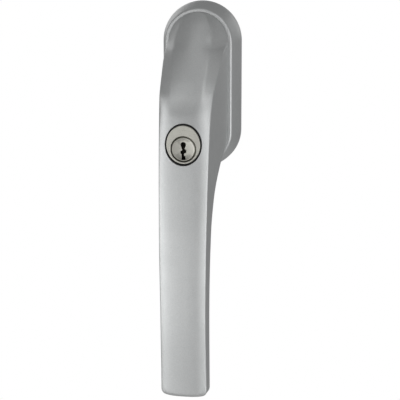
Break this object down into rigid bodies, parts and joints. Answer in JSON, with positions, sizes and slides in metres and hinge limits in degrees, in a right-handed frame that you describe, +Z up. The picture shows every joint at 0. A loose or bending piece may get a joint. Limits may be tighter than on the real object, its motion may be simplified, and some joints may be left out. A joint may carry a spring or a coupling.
{
  "type": "tilt turn handle",
  "caption": "Lockable tilt-and-turn window handle: a lever with a key lock turns a square spindle in an oval rosette that is screwed to the sash.",
  "frame": {"origin": "on the spindle's axis, in the plane of the base plate's back face, which bears on the sash", "axes": "+Z up, along the rosette's long axis; the front faces -Y and the spindle points along +Y into the sash; at rest the grip points down, closed"},
  "size_m": [0.034, 0.0887, 0.1649],
  "materials": {
    "silver_paint": "satin silver-grey lacquer over die-cast metal",
    "die_cast_zinc": "as-cast zinc, matt",
    "zinc_plated_steel": "bright zinc plating",
    "spring_steel": "oiled spring steel",
    "satin_nickel": "satin nickel plating, warm",
    "brass": "turned brass",
    "black_plastic": "black moulded plastic",
    "white_acetal": "natural white acetal"
  },
  "bodies": {
    "rosette": {"base_plate": "die_cast_zinc", "rosette_cover": "silver_paint", "fixing_screw_upper": "zinc_plated_steel", "fixing_screw_lower": "zinc_plated_steel", "support_bush_upper": "die_cast_zinc", "support_bush_lower": "die_cast_zinc", "bearing_bush": "white_acetal", "detent_spring_upper": "spring_steel", "detent_spring_lower": "spring_steel"},
    "handle": {"lever": "silver_paint", "detent_cam": "zinc_plated_steel", "thrust_washer": "zinc_plated_steel", "retaining_ring": "spring_steel", "spindle": "zinc_plated_steel", "spindle_pin": "spring_steel", "lock_surround": "black_plastic", "lock_barrel": "satin_nickel", "chamber_cover": "brass", "barrel_retaining_screw": "zinc_plated_steel", "driver_pin_1": "brass", "driver_pin_2": "brass", "driver_pin_3": "brass", "driver_pin_4": "brass", "pin_spring_1": "spring_steel", "pin_spring_2": "spring_steel", "pin_spring_3": "spring_steel", "pin_spring_4": "spring_steel"},
    "plug": {"lock_plug": "satin_nickel", "plug_clip": "spring_steel", "cam_pin": "zinc_plated_steel", "key_pin_1": "brass", "key_pin_2": "brass", "key_pin_3": "brass", "key_pin_4": "brass"},
    "bolt": {"locking_bolt": "zinc_plated_steel"}
  },
  "joints": [
    {"name": "handle_turn", "type": "hinge", "parent": "rosette", "child": "handle", "pos_m": [0, 0, 0], "axis": [0, 1, 0], "range_deg": [0, 180], "deforming": ["detent_spring_upper", "detent_spring_lower"]},
    {"name": "plug_turn", "type": "hinge", "parent": "handle", "child": "plug", "pos_m": [0, 0, -0.0215], "axis": [0, 1, 0], "range_deg": [0, 180]},
    {"name": "bolt_slide", "type": "slide", "parent": "handle", "child": "bolt", "axis": [0, 1, 0], "range_m": [0, 0.005]}
  ],
  "couplings": [
    {"joint": "plug_turn", "follows": "bolt_slide", "rad_per_m": 628.32}
  ]
}
